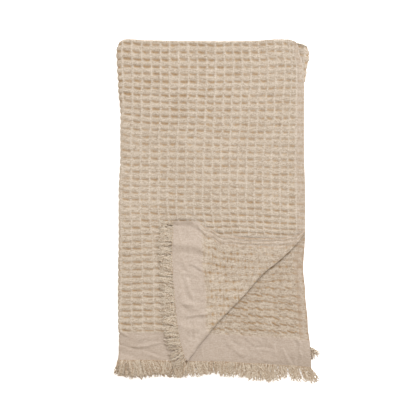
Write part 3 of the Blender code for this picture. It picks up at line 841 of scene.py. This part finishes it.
CREST_COLOUR = (0.421, 0.345, 0.266, 1.0)
# Painted shade: the darker tan that the pits take, the deeper they lie.
PIT_SHADE_COLOUR = (0.286, 0.186, 0.098, 1.0)
PLAIN_COLOUR = (0.414, 0.335, 0.268, 1.0)
FRINGE_COLOUR = (0.552, 0.470, 0.366, 1.0)
# The yarn's deeper tan, for its specks, and near the hem as painted shade.
FRINGE_DEEP_AND_SHADE = (0.285, 0.186, 0.110, 1.0)
KEY_COLOUR = (0.94, 1.02, 1.14)
FLOOR_COLOUR = (0.95, 0.95, 0.95, 1.0)
FLOOR_GLOW = 0.60
TONE_SHARES = (0.85, 1.00, 1.18)
# Where the painted shade of the pits begins and where it is full.
PIT_SHADE_EDGE = (0.12, 0.85)
YARNS_IN_COLUMN = 18.0
YARNS_IN_ROW = 14.0
# The cotton's noise, the painted shade at a strand's root and the twist of its plies, all to a metre.
BLOTCHES, CLUMPS, SPECKLES, FLECKS = 14.0, 190.0, 330.0, 900.0
WEFT_STREAKS = (110.0, 620.0, 300.0)
WARP_STREAKS = (620.0, 110.0, 300.0)
YARN_FUZZ = 420.0
ROOT_PAINTED_SHADE = 160.0
PLY_TURNS = 3600.0


def cotton_material():
    """Undyed cotton: tan in the pits and paler on the crests as painted shade, with its yarns and its fuzz.
    """
    nodes = Nodes("natural cotton weave")
    flat = nodes.mark("flat")
    across, along, relief = nodes.parts(nodes.mark("cell"))
    plain, side, warp_side = nodes.parts(nodes.mark("kind"))
    in_front, in_waffle = 1.0 - side, 1.0 - plain

    def streaks(scales):
        """Noise drawn out along the yarns."""
        stretched = nodes.add("ShaderNodeVectorMath", {0: flat, 1: scales}, operation="MULTIPLY")
        return nodes.noise(stretched[0], 1.0)

    blotch = nodes.noise(flat, BLOTCHES, 3.0, 0.5)
    clump = nodes.noise(flat, CLUMPS, 1.0, 0.5)
    speckle = nodes.noise(flat, SPECKLES)
    fleck = nodes.noise(flat, FLECKS)
    weft_streak, warp_streak = streaks(WEFT_STREAKS), streaks(WARP_STREAKS)
    streak = (warp_streak - weft_streak) * warp_side + weft_streak

    # Painted shade: the pits are coloured a darker tan the deeper they are, more so on the back.
    pit = (1.0 - relief) * (side * 0.22 + 1.0)
    pit = pit + (speckle - 0.5) * 1.6 + (clump - 0.5) * 0.5 + (streak - 0.5) * (side * -0.1 + 0.8)
    edge = {"Value": pit, "From Min": PIT_SHADE_EDGE[0], "From Max": PIT_SHADE_EDGE[1]}
    depth = nodes.add("ShaderNodeMapRange", edge, interpolation_type="SMOOTHSTEP")[0]
    colour = nodes.mixed(plain, nodes.mixed(depth, CREST_COLOUR, PIT_SHADE_COLOUR), PLAIN_COLOUR)
    grain = (in_waffle * 0.66 + 0.34) * (side * 0.1 + 1.3)
    tone_and_painted_light = (speckle + streak - 1.0) * grain + (blotch - 0.5) * 0.14 + (fleck - 0.5) * (grain * 0.5)
    # Painted highlight: the upright ridges of the front's waffle are made lighter.
    from_column = ((across + 0.5).calc("FRACT") - 0.5).calc("ABSOLUTE")
    upright = (1.0 - from_column * 11.0).clamped() * in_waffle * in_front
    # Painted shade: the back face of the back half, seen in the lower layers, is made darker.
    under = side * (1.0 - warp_side)
    tone_and_painted_light = tone_and_painted_light + upright * 0.11 - under * 0.07 - plain * plain * in_front * 0.08
    tints = {slot: tone_and_painted_light * share + 1.0 for slot, share in enumerate(TONE_SHARES)}
    colour = nodes.mixed(1.0, colour, nodes.add("ShaderNodeCombineXYZ", tints)[0], "MULTIPLY")

    warp = (across * (2 * math.pi * YARNS_IN_COLUMN)).calc("SINE")
    weft = (along * (2 * math.pi * YARNS_IN_ROW)).calc("SINE")
    rough = speckle * 1.5 + fleck * 0.9 + (weft_streak * 1.4 + warp_streak * 1.2)
    rough = rough * (in_waffle * 0.55 + 0.45) + warp * weft * 0.20
    look = {
        "Base Color": colour,
        "Normal": nodes.bump(rough, 0.75, 0.0010),
        "Roughness": speckle * 0.12 + 0.84,
        "Sheen Weight": 0.12,
        "Sheen Roughness": 0.6,
        "Specular IOR Level": 0.2,
    }
    nodes.feed(nodes.shader, look)
    return nodes.material


def fringe_material():
    """Loose cotton yarn: darker near the hem as painted shade, with the fine twist of its plies."""
    nodes = Nodes("loose cotton yarn")
    turn, reach, tone_and_painted_light = nodes.parts(nodes.mark("strand"))
    place = nodes.add("ShaderNodeTexCoord", {})[3]
    fuzz = nodes.noise(place, YARN_FUZZ, 3.0)
    # Painted shade: the strands are darker within about 6 mm of the hem.
    painted_root_shade = (reach * ROOT_PAINTED_SHADE).clamped()
    shade = (tone_and_painted_light * 0.70 + fuzz * 4.0 - (painted_root_shade * -0.30 + 2.05)).clamped()
    plies = (turn * (4 * math.pi) + reach * PLY_TURNS).calc("SINE")
    look = {
        "Base Color": nodes.mixed(shade, FRINGE_DEEP_AND_SHADE, FRINGE_COLOUR),
        "Normal": nodes.bump(fuzz + plies * 0.4, 0.4, 0.0006),
        "Roughness": 0.92,
        "Sheen Weight": 0.12,
        "Specular IOR Level": 0.2,
    }
    nodes.feed(nodes.shader, look)
    return nodes.material


def floor_material():
    """A matt white studio floor, lit from within as a light table is."""
    nodes = Nodes("studio floor")
    look = {
        "Base Color": FLOOR_COLOUR,
        "Roughness": 0.9,
        "Specular IOR Level": 0.1,
        "Emission Color": FLOOR_COLOUR,
        "Emission Strength": FLOOR_GLOW,
    }
    nodes.feed(nodes.shader, look)
    return nodes.material


# ---- the fringe

HEADING_INSET = 0.0010
STRAND_LENGTH = (
    # x, length of the strands that hang there
    (-0.229, 0.0270), (-0.215, 0.0370), (-0.200, 0.0425), (-0.185, 0.0475), (-0.165, 0.0440),
    (-0.140, 0.0385), (-0.110, 0.0380), (-0.070, 0.0405), (-0.035, 0.0375), (-0.010, 0.0320),
    (0.012, 0.0290), (0.030, 0.0370), (0.060, 0.0355), (0.090, 0.0400), (0.115, 0.0420),
    (0.145, 0.0440), (0.170, 0.0330), (0.195, 0.0395), (0.225, 0.0430),
)
STRAND_SPREAD = 0.0042
STRAND_SIDES = 5
STRAND_STEPS = 18
SHOWN_PITCH = 0.00078
HIDDEN_PITCH = 0.0027
ROOT_INSET = 0.0012
ROOT_AHEAD = 0.004
ROOT_STRAY = 0.0006
STRAND_FLOOR = 0.0002
CORNER_LENGTH = 0.03645
CORNER_LEAN = 0.42
CORNER_LEAN_REACH = 0.090
FOLD_LEAN = 1.10
PARTINGS = (0.0300, 0.0520)
PARTING_LEAN = 0.12
PARTING_REACH = 0.0070
LEFT_LEAN = 0.22
LEFT_LEAN_RISE = (0.31, 0.36)
LEFT_LEAN_FALL = (0.405, 0.435)
STRAND_WAVES = ((0.090, 0.113), (0.060, 0.049))  # angle, wavelength along the hem
LOCK_WIDTH = 0.0085
LOCK_NOTCH = 0.009
LAST_LOCK_LEAN = 0.90
LAST_LOCK_REACH = 0.027
CURL = (0.0003, 0.0010)
CRIMP = (0.007, 0.013)
BEND_REACH = 0.0055
TWIST_REACH = 0.0016
# Pairs: of the strands that hang, and of those on the turned corner, which lie on the blanket.
STRAND_RADIUS = (0.00120, 0.00088)
# Painted light: the strands on the turned corner are paler than the same yarn that hangs.
PAINTED_LIGHT = (0.0, 0.28)
SHORTEST = (0.008, 0.016)
ANGLE_STRAY = (0.15, 0.28)
LOCK_PULL = (-0.090, 0.036)
BEND = (0.0020, 0.0012)
STAND = ((-0.0014, 0.0014), (-0.0006, 0.0004))
DROOP = (0.0010, 0.0019)


def strand_lean(u):
    """The angle at which strands lean out at the folds, near the right corner and at the partings."""
    lean = CORNER_LEAN * ease(1 - u / CORNER_LEAN_REACH)
    for parting in PARTINGS:
        from_parting = (parting - u) / PARTING_REACH
        lean = lean + PARTING_LEAN * np.sign(from_parting) * bell(from_parting)
    at_left = ramp(u, *LEFT_LEAN_RISE) * (1 - 1.2 * ramp(u, *LEFT_LEAN_FALL))
    lean = lean + LEFT_LEAN * at_left * (u < MIDDLE_U)
    in_fold = (u > RIGHT_FOLD_U) & (u < BOTTOM_U)
    return np.where(in_fold, FOLD_LEAN * np.sin(math.pi * (u - RIGHT_FOLD_U) / THIRD_ARC), lean)


def strand_roots(low, high, chance):
    """Places along a hem that strands grow from, closer together where they show."""
    places, at = [], low
    while at < high:
        places.append(at)
        shown = at < MIDDLE_U or RIGHT_FOLD_U < at < BOTTOM_U
        at += (SHOWN_PITCH if shown else HIDDEN_PITCH) * chance.uniform(0.6, 1.4)
    return np.array(places)


def hem_stray(u, hem_v):
    """How far the creases carry a hem along w at these places."""
    lines = np.linspace(-1, COLUMNS + 1, 8 * COLUMNS)
    k = np.interp(u, column_place(lines), lines)
    m = np.full_like(k, -BAND_CELLS if hem_v == 0 else ROWS + BAND_CELLS)
    return creases(u, np.full_like(k, hem_v), k, m, 1.0)


def strand_lines(u, hem_v, on_corner, chance):
    """The centrelines of strands, as (strand, step, 3), settled."""
    count = len(u)
    out_v = 1 if hem_v > 0 else -1
    share = np.linspace(0, 1, STRAND_STEPS + 1)[None, :]
    w = chance.uniform(-ROOT_STRAY, ROOT_STRAY, count)
    root_v = np.full(count, hem_v - out_v * ROOT_INSET)
    root = np.stack(fold(u, root_v, w), axis=-1)
    lift = fold(u, root_v, w + hem_stray(u, hem_v))[2] - root[:, 2]
    length = chance.uniform(-STRAND_SPREAD, STRAND_SPREAD, count)
    length = length - SHORTEST[on_corner] * chance.uniform(0, 1, count) ** 4
    angle = sum(lean * np.sin(2 * math.pi * u / wavelength) for lean, wavelength in STRAND_WAVES)
    if on_corner:
        length = length + CORNER_LENGTH
        way = np.stack(fold(u, np.full(count, hem_v + out_v * ROOT_AHEAD), w), axis=-1) - root
        way = way[:, :2] / np.linalg.norm(way[:, :2], axis=1, keepdims=True)
        angle = angle + LAST_LOCK_LEAN * ease(1 - (u.max() - u) / LAST_LOCK_REACH)
    else:
        length = length + read_table(STRAND_LENGTH, root[:, 0], 1)
        way = np.tile((0.0, -1.0), (count, 1))
        angle = angle + strand_lean(u)
    angle = angle + chance.normal(0, ANGLE_STRAY[on_corner], count)
    lock = (u / LOCK_WIDTH + 0.35 * np.sin(u * 190) + 0.25 * np.sin(u * 457)) % 1 - 0.5
    length = length - LOCK_NOTCH * np.abs(2 * lock) ** 3 * chance.uniform(0.3, 1.0, count)
    angle = angle - LOCK_PULL[on_corner] * lock
    cos, sin = np.cos(angle), np.sin(angle)
    way = np.stack((way[:, 0] * cos - way[:, 1] * sin, way[:, 0] * sin + way[:, 1] * cos), axis=-1)
    side = np.stack((-way[:, 1], way[:, 0]), axis=-1)
    reach = share * length[:, None]
    phase = chance.uniform(0, 2 * math.pi, (3, count, 1))
    curl = chance.uniform(*CURL, (3, count, 1))
    crimp = 2 * math.pi / chance.uniform(*CRIMP, (2, count, 1))
    free = ease(share * 2.5)
    sway = 2.3 * curl[0] * np.sin(reach * crimp[0] + phase[0]) * free
    sway = sway + BEND[on_corner] * (curl[1] / CURL[1]) * np.sin(reach / BEND_REACH + phase[1]) * free
    rise = 0.8 * curl[2] * np.sin(reach * crimp[1] + phase[2]) * free
    rise = rise + chance.uniform(*STAND[on_corner], (count, 1)) * ease(share * 3)
    rise = rise - DROOP[on_corner] * ease(share * 1.5)
    flat = root[:, None, :2] + way[:, None] * reach[..., None] + side[:, None] * sway[..., None]
    z = root[:, None, 2] + rise + lift[:, None] * (1 - ease(share * 1.3))
    return settle(flat[..., 0], flat[..., 1], z), reach, length


def strand_tubes(name, lines, reach, length, on_corner, chance):
    """Tapered, twisted tubes along centrelines, as one object."""
    count, steps, _ = lines.shape
    ahead = np.gradient(lines, axis=1)
    ahead /= np.linalg.norm(ahead, axis=2, keepdims=True)
    side = np.cross(ahead, (0.0, 0.0, 1.0))
    side /= np.linalg.norm(side, axis=2, keepdims=True)
    up = np.cross(side, ahead)
    share = reach / length[:, None]
    radius = STRAND_RADIUS[on_corner] * chance.uniform(0.80, 1.15, (count, 1))
    radius = radius * (0.80 + 0.25 * np.sin(math.pi * np.clip(share * 0.9 + 0.05, 0, 1)))
    radius = radius * np.where(share > 0.98, 0.50, 1.0)
    turn = np.arange(STRAND_SIDES) / STRAND_SIDES
    theta = 2 * math.pi * turn
    spread = radius[:, :, None] * (1 + 0.12 * np.cos(2 * theta - reach[:, :, None] / TWIST_REACH))
    points = (
        lines[:, :, None, :]
        + side[:, :, None, :] * (np.cos(theta) * spread)[..., None]
        + up[:, :, None, :] * (np.sin(theta) * spread)[..., None]
    )
    points[..., 2] += np.maximum(0, STRAND_FLOOR - points[..., 2].min(axis=2, keepdims=True))
    index = np.arange(count * steps * STRAND_SIDES).reshape(count, steps, STRAND_SIDES)
    beside = np.roll(index, -1, axis=2)
    quads = np.stack((index[:, :-1], beside[:, :-1], beside[:, 1:], index[:, 1:]), axis=-1).reshape(-1, 4)
    made = mesh_object(name, points.reshape(-1, 3), [quads, index[:, 0, ::-1], index[:, -1, :]])
    # Each strand's random tone, with painted light added on the turned corner.
    tone_and_painted_light = chance.uniform(0, 1, (count, 1, 1)) + PAINTED_LIGHT[on_corner]
    marks = np.stack(np.broadcast_arrays(turn, reach[:, :, None], tone_and_painted_light), axis=-1)
    mark_points(made, "strand", marks.reshape(-1, 3))
    return made


def make_fringe(name, node, low, high, hem_v, on_corner, seed, material):
    """The strands of one stretch of a hem, as one object."""
    chance = np.random.default_rng(seed)
    u = strand_roots(low, high, chance)
    made = strand_tubes(name, *strand_lines(u, hem_v, on_corner, chance), on_corner, chance)
    made.data.materials.append(material)
    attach(made, "root")
    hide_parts(node)
    return made


def hem_place(beyond):
    """The place along the front hem that lies this far past the axis of the corner's roll."""
    return (beyond_roll(0, 0) - beyond) / ROLL_OUT[0]


# ---- the studio

VIEW_CENTRE = (-0.0222, 0.0083)
VIEW_WIDTH = 0.978
VIEW_LEVEL = 0.030
CAMERA_HEIGHT = 3.2
LENS = 90.0
FLOOR_HALF = 12.0
KEY_PLACE = (1.35, 2.45, 3.35)
KEY_SIZE = 2.0
KEY_WATTS = 212.0
WORLD_COLOUR = (1.0, 0.930, 0.84, 1.0)
WORLD_GLOW = 0.86


def make_camera():
    """Straight above the blanket, as the photograph was taken."""
    data = bpy.data.cameras.new("camera")
    data.lens = LENS
    data.sensor_width = LENS * VIEW_WIDTH / (CAMERA_HEIGHT - VIEW_LEVEL)
    data.clip_end = 20.0
    camera = add_object("camera", data)
    camera.location = (*VIEW_CENTRE, CAMERA_HEIGHT)
    bpy.context.scene.camera = camera


def make_key_light():
    """A round softbox beyond the blanket's top right, turned to its middle."""
    data = bpy.data.lights.new("key", "AREA")
    data.shape = "DISK"
    data.size = KEY_SIZE
    data.energy = KEY_WATTS
    data.color = KEY_COLOUR
    light = add_object("key", data)
    light.location = KEY_PLACE
    x, y, z = KEY_PLACE
    light.rotation_euler = (math.atan2(math.hypot(x, y), z), 0.0, math.atan2(x, -y))


def make_studio():
    """A white floor under soft light."""
    bpy.context.scene.view_settings.view_transform = "Standard"
    corners = np.array(((-1, -1, 0), (1, -1, 0), (1, 1, 0), (-1, 1, 0))) * FLOOR_HALF
    floor = mesh_object("floor", corners, [np.array(((0, 1, 2, 3),))])
    floor.data.materials.append(floor_material())
    world = bpy.data.worlds.new("studio")
    world.use_nodes = True
    backdrop = world.node_tree.nodes["Background"]
    backdrop.inputs["Color"].default_value = WORLD_COLOUR
    backdrop.inputs["Strength"].default_value = WORLD_GLOW
    bpy.context.scene.world = world
    make_key_light()


# ---- the blanket

FINE_COLUMNS = 14
FINE_ROWS_FROM = 66


def make_blanket():
    """The cloth in four pieces and its fringe in three."""
    cotton = cotton_material()
    yarn = fringe_material()
    low_k, high_k = -1.0, COLUMNS + 1.0
    low_m, high_m = -float(BAND_CELLS), float(ROWS + BAND_CELLS)
    left_arc, right_arc, half_arc = (K_LEFT, K_MIDDLE), (K_RIGHT, K_BOTTOM), (M_HALF, M_BACK)
    fine_k = lines_between(low_k, K_MIDDLE, left_arc, IN_STRIP, IN_COLUMN, 0, COLUMNS)
    back_k = lines_between(low_k, K_MIDDLE, left_arc, COARSE_COLUMN, IN_COLUMN, 0, FINE_COLUMNS)
    under_k = lines_between(K_MIDDLE, high_k, right_arc, COARSE_COLUMN)
    front_m = lines_between(low_m, M_BACK, half_arc, IN_ROW)
    back_m = lines_between(M_BACK, high_m, None, COARSE_ROW, IN_ROW, FINE_ROWS_FROM, ROWS + BAND_CELLS)
    under_front_m = lines_between(low_m, M_BACK, half_arc, COARSE_ROW)
    under_back_m = lines_between(M_BACK, high_m, None, COARSE_ROW)
    top_front = make_cloth("cloth_top_front", fine_k, front_m, cotton)
    top_back = make_cloth("cloth_top_back", back_k, back_m, cotton)
    under_front = make_cloth("cloth_under_front", under_k, under_front_m, cotton)
    under_back = make_cloth("cloth_under_back", under_k, under_back_m, cotton)
    low_u, high_u = HEADING_INSET, CLOTH_WIDTH - HEADING_INSET
    corner_end, front_start = hem_place(ROLL_ARC), hem_place(0.0)
    corner = make_fringe("fringe_of_corner", "fringe_corner", low_u, corner_end, 0.0, True, 31, yarn)
    front = make_fringe("fringe_of_front", "fringe_front", front_start, high_u, 0.0, False, 32, yarn)
    back = make_fringe("fringe_of_back", "fringe_back", low_u, high_u, CLOTH_LENGTH, False, 33, yarn)
    under_width = CLOTH_WIDTH - MIDDLE_U
    front_length = FRONT_LENGTH + HALF_ARC


make_studio()
make_camera()
make_blanket()
